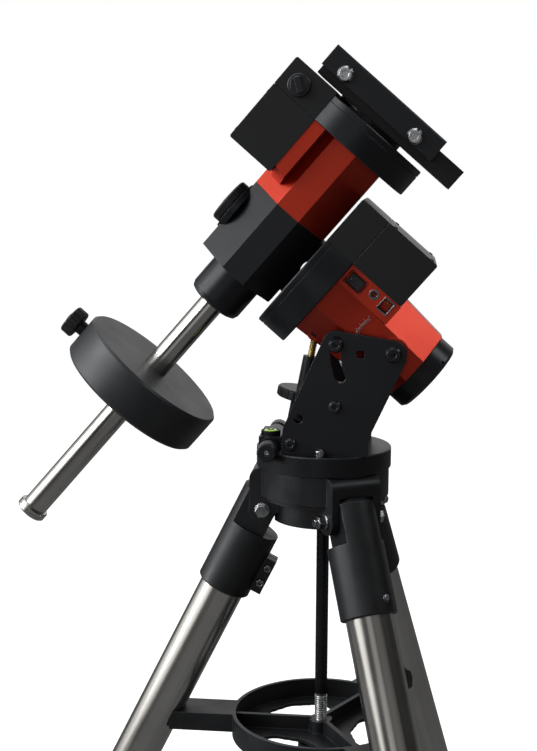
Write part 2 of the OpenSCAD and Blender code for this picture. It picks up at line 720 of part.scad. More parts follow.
module ra_worm_wheel() color(brass) on_head() difference() {
  cyl_x(ra_wheel_d / 2, ra_face + 4, ra_face + 4 + wheel_thick);
  cyl_x(ra_shaft_d / 2, ra_face, ra_shoulder);
}

// Declination axis
module dec_section(z0, z1) difference() {
  translate([0, 0, z0]) linear_extrude(z1 - z0) octagon(dec_half, dec_half, dec_half + dec_flat_w / 2);
  difference() {
    box([dec_half - flange_t, -dec_half, z0 - 1], [dec_half + 1, dec_half, z1 + 1]);
    cyl_x(flange_r, 0, dec_half + 2);
  }
}

module dec_bores() {
  cyl_z(dec_shaft_d / 2 + fit, body_low + 8, body_low + 22);
  cyl_z(dec_shaft_d / 2 + 2, body_low + 20, body_top + 1);
  cyl_x(scope_r, -dec_half - 10, dec_half + 1);
}

module dec_body_lower() color(black) on_dec() difference() {
  union() {
    dec_section(body_low, body_split);
    rotate_extrude() polygon([[0, collar_low], [collar_r - 6, collar_low], [collar_r - 2, collar_low + 2],
      [collar_r, collar_low + 7], [collar_r, body_low + 1], [0, body_low + 1]]);
    cyl_x(front_cap_r + 4, -dec_half - 2, -dec_half + 5);
    cyl_x(front_cap_r - 3, -dec_half - 8, -dec_half + 5);
  }
  dec_bores();
  cyl_z(shaft_d / 2, collar_low - 1, body_low + 4);
}

module dec_body_upper() color(red) on_dec() difference() {
  union() {
    dec_section(body_split + seat, body_top);
    intersection() {
      box([dec_box_south, -box_y + 1, body_split + 16], [-26.5, box_y - 1, body_top]);
      translate([0, 0, body_split + 8]) rotate_extrude($fn = 64) polygon([[0, 0], [30, 0], [75, 22], [75, 90], [0, 90]]);
    }
  }
  dec_bores();
  box([dec_box_south - 20, -48, dec_box_low], [dec_box_south, 48, body_top + 1]);
}

module dec_gear_housing() color(black) on_dec() difference() {
  chamfered(dec_housing_d / 2, body_top + seat, dec_housing_top, 1);
  cyl_z(dec_wheel_d / 2 + 3, body_top + 6, dec_housing_top - 5);
  cyl_z(dec_shaft_d / 2 + 2, body_top, body_top + 10);
  cyl_z(hub_hole_r, dec_housing_top - 10, dec_housing_top + 1);
  ring_groove(dec_housing_d / 2, body_top + 25);
  box([-100, -40, body_top + 6], [-40, 40, dec_housing_top - 5]);
  box([-100, -100, body_top - 1], [dec_box_south, 100, dec_housing_top + 1]);
}

module dec_motor_cover() color(black) on_dec() difference() {
  soft_box([dec_box_north, -box_y, dec_box_low], [dec_box_south - seat, box_y, dec_box_top], box_round);
  box([dec_box_north + box_wall, -box_y + box_wall, dec_box_low + box_wall], [dec_box_south + 1, box_y - box_wall, dec_box_top - box_wall]);
  dec_section(body_low, body_top + 1);
  difference() {
    box([-200, -100, body_top], [0, 100, body_top + groove]);
    box([dec_box_north + groove, -box_y + groove, body_top - 1], [0, box_y - groove, body_top + 2]);
  }
  translate([-75.9, 0, 141.4]) cyl_y(4 + fit, -box_y - 1, -box_y + 10);
}

module dec_clutch_knob() color(black) on_dec() translate([-75.9, 0, 141.4]) rotate([0, 35, 0]) clutch_knob(box_y, -1);

module dec_front_cap() color(black) on_dec() difference() {
  translate([-dec_half - 2 - gap, 0, 0]) rotate([0, -90, 0]) fluted_knob(front_cap_r, 0, 10, 36, 0.6);
  cyl_x(front_cap_r - 3 + fit, -dec_half - 8 - gap, -dec_half);
}

module dec_worm() color(steel) on_dec()
  translate([-dec_wheel_d / 2 - worm_r - wheel_gap, 0, body_top + 8 + wheel_thick / 2]) worm(worm_r, 34);

module dec_shaft() color(steel) on_dec() difference() {
  union() {
    cyl_z(dec_shaft_d / 2, body_low + 9, dec_housing_top - 6);
    cyl_z(hub_hole_r - 1, dec_housing_top - 8, saddle_z - seat);
  }
  cyl_x(scope_r, -40, 40);
}

module dec_worm_wheel() color(brass) on_dec() difference() {
  cyl_z(dec_wheel_d / 2, body_top + 8, body_top + 8 + wheel_thick);
  cyl_z(dec_shaft_d / 2, body_top, dec_housing_top);
}

// Saddle; the dovetail bar lies along X between a fixed and a moving jaw
module jaw_profile(inner) polygon([[jaw_y, jaw_low], [jaw_y, jaw_top - 1.5], [jaw_y - 1.5, jaw_top],
  [inner - jaw_lip, jaw_top], [inner, saddle_t], [inner, jaw_low]]);

module jaw(inner) translate([jaw_south, 0, saddle_z]) rotate([90, 0, -90])
  linear_extrude(jaw_south - saddle_north) jaw_profile(inner);

module saddle() color(black) on_dec() difference() {
  union() {
    box([saddle_north, -saddle_half, saddle_z], [saddle_south, saddle_half, saddle_z + saddle_t]);
    mirror([0, 1, 0]) jaw(dovetail_w / 2 + 1);
  }
  for (x = jaw_screw_x) translate([x, 0, saddle_z + jaw_screw_z - 5]) cyl_y(4.5, -saddle_half - 1, -saddle_half + 20);
  for (x = [-55, -20, 20, 55, 90]) translate([x, 0, saddle_z]) cylinder(r = 3.2, h = saddle_t + 1);
  translate([0, 0, saddle_z + saddle_t - 2.5]) box([saddle_north - 1, -12, 0], [saddle_south + 1, 12, 5]);
}

module saddle_jaw() color(black) on_dec() difference() {
  jaw(saddle_half + gap);
  for (x = jaw_screw_x) translate([x, 0, saddle_z + jaw_screw_z - 5]) cyl_y(4.5, -jaw_y - 1, 0);
}

module saddle_screws() color(steel) on_dec() for (x = jaw_screw_x)
  translate([x, 0, saddle_z + jaw_screw_z - 5]) {
    cyl_y(4.4, -jaw_y - 1, -saddle_half + 6);
    translate([0, -jaw_y, 0]) rotate([90, 0, 0]) button_head(8.5, 5, 4);
  }

// Counterweight
module cw_shaft() color(steel) on_dec() cyl_z(shaft_d / 2, -shaft_end, body_low + 3.5);

module cw_end_cap() color(steel) on_dec() difference() {
  chamfered(17.5, -shaft_end - 10, -shaft_end - seat, 1.5);
  ring_groove(17.5, -shaft_end - 5);
}

module counterweight() color(black) on_dec() difference() {
  chamfered(weight_d / 2, -weight_drop - weight_t, -weight_drop, 2.5);
  cyl_z(shaft_d / 2 + fit, -weight_drop - weight_t - 1, 0);
  translate([0, 0, -weight_drop - weight_t / 2]) cyl_x(5 + fit, -weight_d / 2 - 1, 0);
}

module cw_knob() color(black) on_dec() translate([0, 0, -weight_drop - weight_t / 2]) rotate([0, -90, 0]) {
  cyl_z(5, shaft_d / 2 + gap, weight_d / 2 + 9);
  cyl_z(8, weight_d / 2 + gap, weight_d / 2 + 8);
  fluted_knob(16.5, weight_d / 2 + 7, weight_d / 2 + 21, 16, 2);
}

tripod_head();
tripod_bolts();
centre_rod();
spreader();
spreader_knob();
leg_cap(0);  // leg_cap_1
leg_cap(1);  // leg_cap_2
leg_cap(2);  // leg_cap_3
leg_tube(0);  // leg_tube_1
leg_tube(1);  // leg_tube_2
leg_tube(2);  // leg_tube_3
leg_collar(0);  // leg_collar_1
leg_collar(1);  // leg_collar_2
leg_collar(2);  // leg_collar_3
leg_lock(0);  // leg_lock_1
leg_lock(1);  // leg_lock_2
leg_lock(2);  // leg_lock_3
lower_tube(0);  // lower_tube_1
lower_tube(1);  // lower_tube_2
lower_tube(2);  // lower_tube_3
foot(0);  // foot_1
foot(1);  // foot_2
foot(2);  // foot_3
azimuth_base();
side_plates();
plate_bolts();
azimuth_block();
level_vial();
azimuth_screw_front();
azimuth_screw_rear();
jack_yoke();
jack_wheel();
jack_screw();
ra_body();
ra_gear_housing();
ra_motor_cover();
control_panel();
power_switch();
polar_cap();
altitude_bolts();
ra_worm();
ra_clutch_knob();
ra_shaft();
ra_worm_wheel();
dec_body_lower();
dec_body_upper();
dec_gear_housing();
dec_motor_cover();
dec_clutch_knob();
dec_front_cap();
dec_worm();
dec_shaft();
dec_worm_wheel();
cw_shaft();
cw_end_cap();
counterweight();
cw_knob();
saddle();
saddle_jaw();
saddle_screws();
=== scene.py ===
"""German equatorial mount with a counterweight on a steel tripod: finishes, small fittings and a plain studio.

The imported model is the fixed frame. Lengths in the code are millimetres in a part's own frame, unless they end in _m.
"""

import json
import math

import bmesh
import bpy
from bpy.props import FloatProperty, FloatVectorProperty, IntProperty, PointerProperty
from bpy.types import Operator, Panel, PropertyGroup
from mathutils import Matrix, Vector


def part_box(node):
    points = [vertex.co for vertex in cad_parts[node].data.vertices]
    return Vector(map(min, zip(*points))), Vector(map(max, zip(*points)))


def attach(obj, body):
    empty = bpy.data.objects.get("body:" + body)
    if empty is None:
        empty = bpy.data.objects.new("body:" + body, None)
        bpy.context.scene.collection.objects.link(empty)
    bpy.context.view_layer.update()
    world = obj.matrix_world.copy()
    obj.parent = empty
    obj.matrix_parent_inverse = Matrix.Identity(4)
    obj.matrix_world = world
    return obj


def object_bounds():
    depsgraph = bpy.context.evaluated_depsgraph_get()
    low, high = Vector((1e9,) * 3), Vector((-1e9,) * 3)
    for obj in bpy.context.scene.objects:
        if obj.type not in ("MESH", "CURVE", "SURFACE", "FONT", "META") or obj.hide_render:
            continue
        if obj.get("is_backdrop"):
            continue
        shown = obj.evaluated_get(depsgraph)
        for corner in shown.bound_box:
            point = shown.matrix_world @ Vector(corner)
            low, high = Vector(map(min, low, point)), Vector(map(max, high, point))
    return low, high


bl_info = {
    "name": "Equatorial mount finishes",
    "version": (1, 0, 0),
    "blender": (4, 5, 0),
    "location": "View3D > Sidebar > Mount",
    "description": "Finishes, small fittings and studio for an equatorial mount on a tripod",
    "category": "Object",
}

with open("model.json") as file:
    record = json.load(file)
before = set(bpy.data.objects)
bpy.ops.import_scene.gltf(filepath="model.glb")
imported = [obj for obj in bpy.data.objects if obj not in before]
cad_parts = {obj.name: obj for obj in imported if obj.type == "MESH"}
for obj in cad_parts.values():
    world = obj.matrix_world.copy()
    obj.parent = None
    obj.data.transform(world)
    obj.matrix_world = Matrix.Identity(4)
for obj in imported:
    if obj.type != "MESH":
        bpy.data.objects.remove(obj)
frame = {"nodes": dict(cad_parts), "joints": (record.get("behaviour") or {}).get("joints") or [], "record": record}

MM = 0.001
JOINTS = {joint["name"]: joint for joint in frame["joints"]}
SLOTS = {part["node"]: part["material_slot"] for part in frame["record"]["subparts"]}
LEGS = (1, 2, 3)
ORIGIN = Matrix.Identity(4)


# Frames of the parts, taken from the joints


def joint_place(name):
    return Vector(JOINTS[name]["pos_m"])


def joint_axis(name):
    return Vector(JOINTS[name]["axis"]).normalized()


def part_frame(origin, x_axis, z_axis):
    """A frame in millimetres whose X and Z follow the axes given."""
    y_axis = z_axis.cross(x_axis).normalized()
    x_axis = y_axis.cross(z_axis).normalized()
    turn = Matrix((x_axis, y_axis, z_axis)).transposed().to_4x4()
    return Matrix.Translation(origin) @ turn @ Matrix.Scale(MM, 4)


def leg_frame(leg):
    hinge = joint_place(f"leg_fold_{leg}")
    outward = hinge - joint_place("azimuth")
    outward.z = 0
    return part_frame(hinge, outward.normalized(), -joint_axis(f"leg_extend_{leg}"))


PIER = part_frame(joint_place("azimuth"), Vector((1, 0, 0)), Vector((0, 0, 1)))
HEAD = part_frame(joint_place("altitude"), -joint_axis("ra_axis"), joint_axis("dec_axis"))
DEC = part_frame(joint_place("dec_axis"), -joint_axis("ra_axis"), joint_axis("dec_axis"))
JACK = part_frame(joint_place("jack_tilt"), Vector((1, 0, 0)), joint_axis("jack_extend"))
POLAR = HEAD @ Matrix.Rotation(math.radians(90), 4, "Y")
LEG = {leg: leg_frame(leg) for leg in LEGS}


def at(frame_matrix, x=0.0, y=0.0, z=0.0, facing="Z"):
    """A frame moved to a point of another one, with its Z turned to face an axis of it."""
    turns = {
        "Z": Matrix.Identity(4),
        "-Z": Matrix.Rotation(math.pi, 4, "X"),
        "-Y": Matrix.Rotation(math.radians(90), 4, "X"),
        "Y": Matrix.Rotation(math.radians(-90), 4, "X"),
        "X": Matrix.Rotation(math.radians(90), 4, "Y"),
        "-X": Matrix.Rotation(math.radians(-90), 4, "Y"),
    }
    return frame_matrix @ Matrix.Translation((x, y, z)) @ turns[facing]


# Settings that a user would change


class MountColours(PropertyGroup):
    anodised: FloatVectorProperty(
        name="Black anodising", description="Colour of the black machined parts",
        subtype="COLOR", size=3, min=0, max=1, default=(0.011, 0.0115, 0.0135))
    # The lighter edge colours here are partly wear and partly a painted highlight along the edges.
    anodised_edge: FloatVectorProperty(
        name="Black edges", description="Colour of the thin worn edges of black parts",
        subtype="COLOR", size=3, min=0, max=1, default=(0.085, 0.09, 0.105))
    cast: FloatVectorProperty(
        name="Black casting", description="Colour of the cast tripod parts",
        subtype="COLOR", size=3, min=0, max=1, default=(0.0095, 0.0098, 0.011))
    moulded: FloatVectorProperty(
        name="Black plastic", description="Colour of covers and knobs",
        subtype="COLOR", size=3, min=0, max=1, default=(0.0085, 0.0085, 0.0095))
    weight: FloatVectorProperty(
        name="Counterweight paint", description="Colour of the counterweight",
        subtype="COLOR", size=3, min=0, max=1, default=(0.02, 0.0205, 0.023))
    red: FloatVectorProperty(
        name="Red anodising", description="Colour of the red castings",
        subtype="COLOR", size=3, min=0, max=1, default=(0.66, 0.042, 0.014))
    steel: FloatVectorProperty(
        name="Stainless steel", description="Colour of the leg tubes and the shaft",
        subtype="COLOR", size=3, min=0, max=1, default=(0.66, 0.64, 0.6))
    brass: FloatVectorProperty(
        name="Brass", description="Colour of the jack screw and the worm wheels",
        subtype="COLOR", size=3, min=0, max=1, default=(0.78, 0.55, 0.17))
    vial: FloatVectorProperty(
        name="Level liquid", description="Colour of the liquid in the level",
        subtype="COLOR", size=3, min=0, max=1, default=(0.5, 0.85, 0.02))


class MountFittings(PropertyGroup):
    edge_round: FloatProperty(
        name="Edge rounding", description="Radius that the finishes round each edge to",
        subtype="DISTANCE", unit="LENGTH", min=0.0001, max=0.003, default=0.0009)
    clamp_screw: FloatProperty(
        name="Clamp screw head", description="Radius of the screw heads in the leg caps",
        subtype="DISTANCE", unit="LENGTH", min=0.002, max=0.0045, default=0.0042)
    cover_screw: FloatProperty(
        name="Cover screw head", description="Radius of the screw heads in the motor covers",
        subtype="DISTANCE", unit="LENGTH", min=0.001, max=0.004, default=0.0023)
    scale_marks: IntProperty(
        name="Latitude marks", description="Number of marks on the latitude scale",
        min=5, max=41, default=21)


class MountStudio(PropertyGroup):
    key_light: FloatProperty(
        name="Key light", description="Power of the soft light at the left",
        subtype="POWER", unit="POWER", min=0, max=500, default=24.0)
    fill_light: FloatProperty(
        name="Fill light", description="Power of the faint light in front",
        subtype="POWER", unit="POWER", min=0, max=500, default=1.0)
    side_light: FloatProperty(
        name="Side light", description="Power of the soft light at the left",
        subtype="POWER", unit="POWER", min=0, max=500, default=26.0)
    high_light: FloatProperty(
        name="High light", description="Power of the light high on the right",
        subtype="POWER", unit="POWER", min=0, max=500, default=8.0)
    top_light: FloatProperty(
        name="Top light", description="Power of the soft light overhead",
        subtype="POWER", unit="POWER", min=0, max=500, default=12.0)
    surround: FloatProperty(
        name="Surround", description="Brightness of the room round the object",
        min=0, max=3, default=0.85)


# Finishes


class Graph:
    """A material's shader nodes, added one at a time."""

    def __init__(self, tree):
        self.tree = tree

    def add(self, kind, inputs=None, **settings):
        node = self.tree.nodes.new(kind)
        for key, value in settings.items():
            setattr(node, key, value)
        for key, value in (inputs or {}).items():
            if isinstance(value, bpy.types.NodeSocket):
                self.tree.links.new(value, node.inputs[key])
            else:
                node.inputs[key].default_value = value
        return node

    def maths(self, operation, a, b=0.0):
        return self.add("ShaderNodeMath", {0: a, 1: b}, operation=operation).outputs[0]

    def spread(self, value, low, high, to_low, to_high):
        names = {"Value": value, "From Min": low, "From Max": high, "To Min": to_low, "To Max": to_high}
        return self.add("ShaderNodeMapRange", names, clamp=True).outputs[0]

    def noise(self, vector, size, detail=3.0, roughness=0.55):
        inputs = {"Vector": vector, "Scale": 1.0 / size, "Detail": detail, "Roughness": roughness}
        return self.add("ShaderNodeTexNoise", inputs).outputs[0]

    def blend(self, factor, a, b):
        node = self.add("ShaderNodeMix", {0: factor, 6: a, 7: b}, data_type="RGBA")
        return node.outputs[2]


def solid(colour, share=1.0):
    return (colour[0] * share, colour[1] * share, colour[2] * share, 1.0)


def finish(name, colour, place=PIER, metallic=0.0, rough=0.4, swing=0.08, mottle=40.0, shade=0.25,
           grain=0.35, grain_depth=0.02, lines=None, line_depth=0.0, edge=None, coat=0.0, sheen=0.0, gloss=0.5):
    """A surface with slow shade changes, a fine grain, tool marks and lighter edges, which are partly wear and partly a
    painted highlight.
    """
    material = bpy.data.materials.new(name)
    material.use_nodes = True
    graph = Graph(material.node_tree)
    shader = material.node_tree.nodes["Principled BSDF"]
    coords = graph.add("ShaderNodeTexCoord").outputs["Object"]
    rotation = place.to_3x3().normalized().to_euler()
    local = graph.add(
        "ShaderNodeMapping", {"Vector": coords, "Location": place.translation, "Rotation": rotation,
                              "Scale": (MM, MM, MM)}, vector_type="TEXTURE").outputs[0]
    slow = graph.noise(local, mottle, 4.0)
    fine = graph.noise(local, grain, 2.0)
    height = graph.maths("MULTIPLY", fine, grain_depth)
    marks = None
    if lines == "turned":
        parts = graph.add("ShaderNodeSeparateXYZ", {0: local})
        square = graph.maths("ADD", graph.maths("MULTIPLY", parts.outputs[0], parts.outputs[0]),
                             graph.maths("MULTIPLY", parts.outputs[1], parts.outputs[1]))
        across = graph.maths("ADD", graph.maths("SQRT", square), parts.outputs[2])
        marks = graph.add("ShaderNodeTexNoise", {"W": across, "Scale": 1.4, "Detail": 3.0},
                          noise_dimensions="1D").outputs[0]
    elif lines:
        stretch = {"drawn": (0.9, 0.9, 0.004), "milled": (0.008, 0.9, 0.9), "polished": (0.16, 0.16, 0.0015)}[lines]
        along = graph.add("ShaderNodeVectorMath", {0: local, 1: stretch}, operation="MULTIPLY").outputs[0]
        marks = graph.add("ShaderNodeTexNoise", {"Vector": along, "Scale": 1.0, "Detail": 4.0}).outputs[0]
    if marks is not None:
        height = graph.maths("ADD", height, graph.maths("MULTIPLY", marks, line_depth))
    uneven = slow if marks is None else graph.maths("MULTIPLY", graph.maths("ADD", slow, marks), 0.5)
    material.node_tree.links.new(
        graph.spread(uneven, 0.3, 0.7, rough - swing, rough + swing), shader.inputs["Roughness"])
    share = graph.spread(uneven, 0.3, 0.7, 0.0, 1.0)
    tone = graph.blend(share, solid(colour, 1 - shade), solid(colour, 1 + shade * 0.5))
    rounded = graph.add("ShaderNodeBevel", {"Radius": bpy.context.scene.mount_fittings.edge_round}, samples=4)
    if edge is not None:
        true_normal = graph.add("ShaderNodeNewGeometry").outputs["Normal"]
        facing = graph.add("ShaderNodeVectorMath", {0: rounded.outputs[0], 1: true_normal},
                           operation="DOT_PRODUCT").outputs["Value"]
        # Edges turn to the lighter edge colour: partly wear, partly a painted highlight along the edges.
        worn_and_highlit = graph.spread(facing, 0.995, 0.9, 0.0, 1.0)
        worn_and_highlit = graph.maths("MULTIPLY", worn_and_highlit, graph.spread(slow, 0.35, 0.6, 0.35, 1.0))
        tone = graph.blend(worn_and_highlit, tone, solid(edge))
    material.node_tree.links.new(tone, shader.inputs["Base Color"])
    bump = graph.add("ShaderNodeBump", {"Height": height, "Distance": MM, "Strength": 1.0,
                                        "Normal": rounded.outputs[0]})
    material.node_tree.links.new(bump.outputs[0], shader.inputs["Normal"])
    shader.inputs["Metallic"].default_value = metallic
    shader.inputs["Specular IOR Level"].default_value = gloss
    shader.inputs["Coat Weight"].default_value = coat
    shader.inputs["Coat Roughness"].default_value = 0.2
    shader.inputs["Sheen Weight"].default_value = sheen
    material.diffuse_color = solid(colour)
    return material


def black_anodised(name, place=PIER, lines="turned"):
    colours = bpy.context.scene.mount_colours
    return finish(name, colours.anodised, place, metallic=0.0, rough=0.34, swing=0.07, mottle=55, shade=0.3,
                  grain=0.3, grain_depth=0.012, lines=lines, line_depth=0.01, edge=colours.anodised_edge, gloss=0.38)


def black_cast(name, place=PIER):
    colours = bpy.context.scene.mount_colours
    return finish(name, colours.cast, place, rough=0.42, swing=0.08, mottle=30, shade=0.35,
                  grain=0.8, grain_depth=0.07, edge=colours.anodised_edge)


def black_plastic(name, place=HEAD):
    colours = bpy.context.scene.mount_colours
    return finish(name, colours.moulded, place, rough=0.4, swing=0.06, mottle=70, shade=0.25,
                  grain=0.45, grain_depth=0.035, edge=solid(colours.anodised_edge, 0.6)[:3])


def black_rod(name, place=PIER):
    colours = bpy.context.scene.mount_colours
    return finish(name, colours.anodised, place, metallic=0.35, rough=0.26, swing=0.08, mottle=25, shade=0.4,
                  grain=0.4, grain_depth=0.01, lines="turned", line_depth=0.012, edge=(0.2, 0.2, 0.21))


# Height of the thread's top below the pier's joint, and the colour of its bare steel


THREAD_DROP = 287.5
BARE_THREAD = (0.7, 0.7, 0.69)


def threaded_rod(name, place, thread_top):
    """The black rod, with the bare steel of its thread below the height given in metres"""
    material = black_rod(name, place)
    graph = Graph(material.node_tree)
    shader = material.node_tree.nodes["Principled BSDF"]
    coords = graph.add("ShaderNodeTexCoord").outputs["Object"]
    height = graph.add("ShaderNodeSeparateXYZ", {0: coords}).outputs[2]
    bare = graph.spread(height, thread_top, thread_top - 0.001, 0.0, 1.0)
    painted = shader.inputs["Base Color"].links[0].from_socket
    tone = graph.blend(bare, painted, solid(BARE_THREAD))
    material.node_tree.links.new(tone, shader.inputs["Base Color"])
    material.node_tree.links.new(graph.spread(bare, 0.0, 1.0, 0.35, 1.0), shader.inputs["Metallic"])
    return material


def weight_paint(name, place=DEC):
    colours = bpy.context.scene.mount_colours
    return finish(name, colours.weight, place, rough=0.43, swing=0.06, mottle=45, shade=0.2,
                  grain=1.1, grain_depth=0.06, edge=colours.anodised_edge, sheen=0.05)


def red_anodised(name, place=HEAD, lines="milled"):
    colours = bpy.context.scene.mount_colours
    return finish(name, colours.red, place, metallic=0.55, rough=0.33, swing=0.07, mottle=60, shade=0.22,
                  grain=0.35, grain_depth=0.014, lines=lines, line_depth=0.008, edge=(0.9, 0.16, 0.1))


def stainless(name, place):
    colours = bpy.context.scene.mount_colours
    return finish(name, colours.steel, place, metallic=1.0, rough=0.2, swing=0.08, mottle=120, shade=0.2,
                  grain=0.5, grain_depth=0.002, lines="polished", line_depth=0.02, edge=(0.85, 0.85, 0.83))


def bolt_steel(name, place=PIER, colour=(0.5, 0.5, 0.51)):
    return finish(name, colour, place, metallic=1.0, rough=0.22, swing=0.08, mottle=9, shade=0.3,
                  grain=0.3, grain_depth=0.01, edge=(0.9, 0.9, 0.9))


def shaft_steel(name, place=DEC):
    return finish(name, (0.68, 0.67, 0.65), place, metallic=1.0, rough=0.22, swing=0.07, mottle=40, shade=0.15,
                  grain=0.4, grain_depth=0.004, lines="turned", line_depth=0.01, edge=(0.9, 0.9, 0.88))


def brass(name, place=JACK):
    colours = bpy.context.scene.mount_colours
    return finish(name, colours.brass, place, metallic=1.0, rough=0.27, swing=0.09, mottle=12, shade=0.3,
                  grain=0.4, grain_depth=0.012, lines="turned", line_depth=0.01, edge=(0.95, 0.78, 0.4))


def vial_green(name, place=PIER):
    colours = bpy.context.scene.mount_colours
    material = finish(name, colours.vial, place, rough=0.08, swing=0.03, mottle=8, shade=0.2,
                      grain=2.0, grain_depth=0.01)
    shader = material.node_tree.nodes["Principled BSDF"]
    shader.inputs["Coat Weight"].default_value = 1.0
    shader.inputs["Coat Roughness"].default_value = 0.03
    # The liquid is given a faint glow: painted light, since the level is no lamp.
    shader.inputs["Emission Color"].default_value = solid(colours.vial)
    shader.inputs["Emission Strength"].default_value = 0.22
    return material


def foot_rubber(name, place=PIER):
    return finish(name, (0.018, 0.018, 0.019), place, rough=0.72, swing=0.1, mottle=18, shade=0.4,
                  grain=0.9, grain_depth=0.12, edge=(0.05, 0.05, 0.05), sheen=0.1)


def white_mark(name, place=HEAD):
    return finish(name, (0.72, 0.7, 0.68), place, rough=0.55, swing=0.08, mottle=4, shade=0.2,
                  grain=0.4, grain_depth=0.01)


def dark_recess(name, place=HEAD):
    return finish(name, (0.006, 0.006, 0.007), place, rough=0.6, swing=0.1, mottle=6, shade=0.3,
                  grain=0.4, grain_depth=0.03)


def clear_liquid(name, place=PIER):
    material = finish(name, (0.85, 0.98, 0.6), place, rough=0.06, swing=0.03, mottle=5, shade=0.1,
                      grain=2.0, grain_depth=0.005)
    shader = material.node_tree.nodes["Principled BSDF"]
    shader.inputs["Coat Weight"].default_value = 1.0
    return material


# The finish of each material slot in the model


MAKERS = {
    "black_anodised": black_anodised, "black_cast": black_cast, "black_plastic": black_plastic,
    "black_rod": black_rod, "weight_paint": weight_paint, "red_anodised": red_anodised, "stainless": stainless,
    "bolt_steel": bolt_steel, "shaft_steel": shaft_steel, "brass": brass, "vial_green": vial_green,
    "foot_rubber": foot_rubber,
}


def dress(place, *nodes, **choices):
    """Gives nodes their slot's finish, with tool marks that follow the frame given."""
    for node in nodes:
        slot = SLOTS[node]
        mesh = frame["nodes"][node].data
        mesh.materials.clear()
        mesh.materials.append(MAKERS[slot](f"{slot}.{node}", place, **choices))


# Mesh making


def lathe(profile, steps=48):
    """A closed solid of revolution about Z. A radius may be a function of the angle, for sockets."""
    mesh = bmesh.new()
    rings = []
    for radius, height in profile:
        if not callable(radius) and radius <= 1e-6:
            rings.append([mesh.verts.new((0, 0, height))])
            continue
        ring = []
        for k in range(steps):
            angle = 2 * math.pi * k / steps
            r = radius(angle) if callable(radius) else radius
            ring.append(mesh.verts.new((r * math.cos(angle), r * math.sin(angle), height)))
        rings.append(ring)
    for low, high in zip(rings, rings[1:]):
        for k in range(steps):
            a, b = low[k % len(low)], low[(k + 1) % len(low)]
            c, d = high[(k + 1) % len(high)], high[k % len(high)]
            corners = []
            for corner in (a, b, c, d):
                if corner not in corners:
                    corners.append(corner)
            if len(corners) > 2:
                mesh.faces.new(corners)
    bmesh.ops.recalc_face_normals(mesh, faces=mesh.faces)
    return mesh


def hexagon(flat):
    """Radius of a hexagon whose flats are that far from the middle, by angle."""
    third = math.pi / 3
    return lambda angle: flat / math.cos(angle % third - third / 2)


def cross(arm, half_width):
    """Radius of a plus-shaped slot, by angle."""
    quarter = math.pi / 2

    def radius(angle):
        turn = (angle + quarter / 2) % quarter - quarter / 2
        return min(arm / math.cos(turn), half_width / max(abs(math.sin(turn)), 1e-6))

    return radius


def socket_screw(radius, height, shank=0.0, shank_r=1.0):
    """A cap screw's head with a chamfer and a hexagon socket, and its shank below."""
    socket = radius * 0.52
    profile = [(0, -shank), (shank_r, -shank), (shank_r, 0)] if shank else [(0, 0)]
    profile += [(radius * 0.94, 0), (radius, height * 0.08), (radius, height * 0.86), (radius * 0.9, height),
                (hexagon(socket * 1.1), height), (hexagon(socket), height * 0.92), (hexagon(socket), height * 0.42),
                (0, height * 0.3)]
    return lathe(profile)


def cross_screw(radius, dome):
    """A domed screw head with a cross slot."""
    profile = [(0, 0), (radius, 0), (radius, dome * 0.25), (radius * 0.86, dome * 0.65), (radius * 0.6, dome * 0.92)]
    profile += [(cross(radius * 0.52, radius * 0.14), dome), (cross(radius * 0.4, radius * 0.12), dome * 0.3),
                (0, dome * 0.25)]
    return lathe(profile, 96)


def hexagon_nut(flat, height, hole):
    profile = [(hole, 0), (hexagon(flat * 0.97), 0), (hexagon(flat), height * 0.12), (hexagon(flat), height * 0.88),
               (hexagon(flat * 0.97), height), (hole, height), (hole, 0)]
    return lathe(profile)


def ring(inner, outer, height, soften=0.3):
    profile = [(inner, 0), (outer, 0), (outer, height - soften), (outer - soften, height),
               (inner + soften, height), (inner, height - soften), (inner, 0)]
    return lathe(profile, 64)


def rounded_frame(half_x, half_y, inner_x, inner_y, low, high, corner=1.0):
    """A rectangular collar with rounded corners."""

    def outline(hx, hy, r):
        points = []
        for sx, sy, start in ((1, 1, 0), (-1, 1, 90), (-1, -1, 180), (1, -1, 270)):
            for k in range(5):
                angle = math.radians(start + 22.5 * k)
                points.append((sx * (hx - r) + r * math.cos(angle), sy * (hy - r) + r * math.sin(angle)))
        return points

    mesh = bmesh.new()
    soft = min(0.3, (high - low) * 0.3)
    loops = [
        (outline(half_x, half_y, corner), low), (outline(half_x, half_y, corner), high - soft),
        (outline(half_x - soft, half_y - soft, corner), high),
        (outline(inner_x + soft, inner_y + soft, corner * 0.7), high),
        (outline(inner_x, inner_y, corner * 0.7), high - soft), (outline(inner_x, inner_y, corner * 0.7), low),
    ]
    rings = [[mesh.verts.new((x, y, z)) for x, y in points] for points, z in loops]
    for a, b in zip(rings, rings[1:] + rings[:1]):
        for k in range(len(a)):
            n = (k + 1) % len(a)
            mesh.faces.new((a[k], a[n], b[n], b[k]))
    bmesh.ops.recalc_face_normals(mesh, faces=mesh.faces)
    return mesh


def block(mesh, low, high, soften=0.0, turn=None):
    """Adds a box with softened edges to a mesh."""
    made = bmesh.ops.create_cube(mesh, size=1.0)["verts"]
    size = [b - a for a, b in zip(low, high)]
    middle = [(a + b) / 2 for a, b in zip(low, high)]
    matrix = Matrix.Translation(middle) @ Matrix.Diagonal((*size, 1.0))
    bmesh.ops.transform(mesh, matrix=(turn or Matrix.Identity(4)) @ matrix, verts=made)
    if soften:
        edges = list({edge for vert in made for edge in vert.link_edges})
        bmesh.ops.bevel(mesh, geom=edges, offset=soften, segments=2, affect="EDGES", profile=0.6)
    return mesh


def join(parts):
    """One mesh from several, each with the frame it stands in."""
    whole = bmesh.new()
    for mesh, matrix in parts:
        mesh.transform(matrix)
        loose = bpy.data.meshes.new("loose")
        mesh.to_mesh(loose)
        mesh.free()
        whole.from_mesh(loose)
        bpy.data.meshes.remove(loose)
    return whole


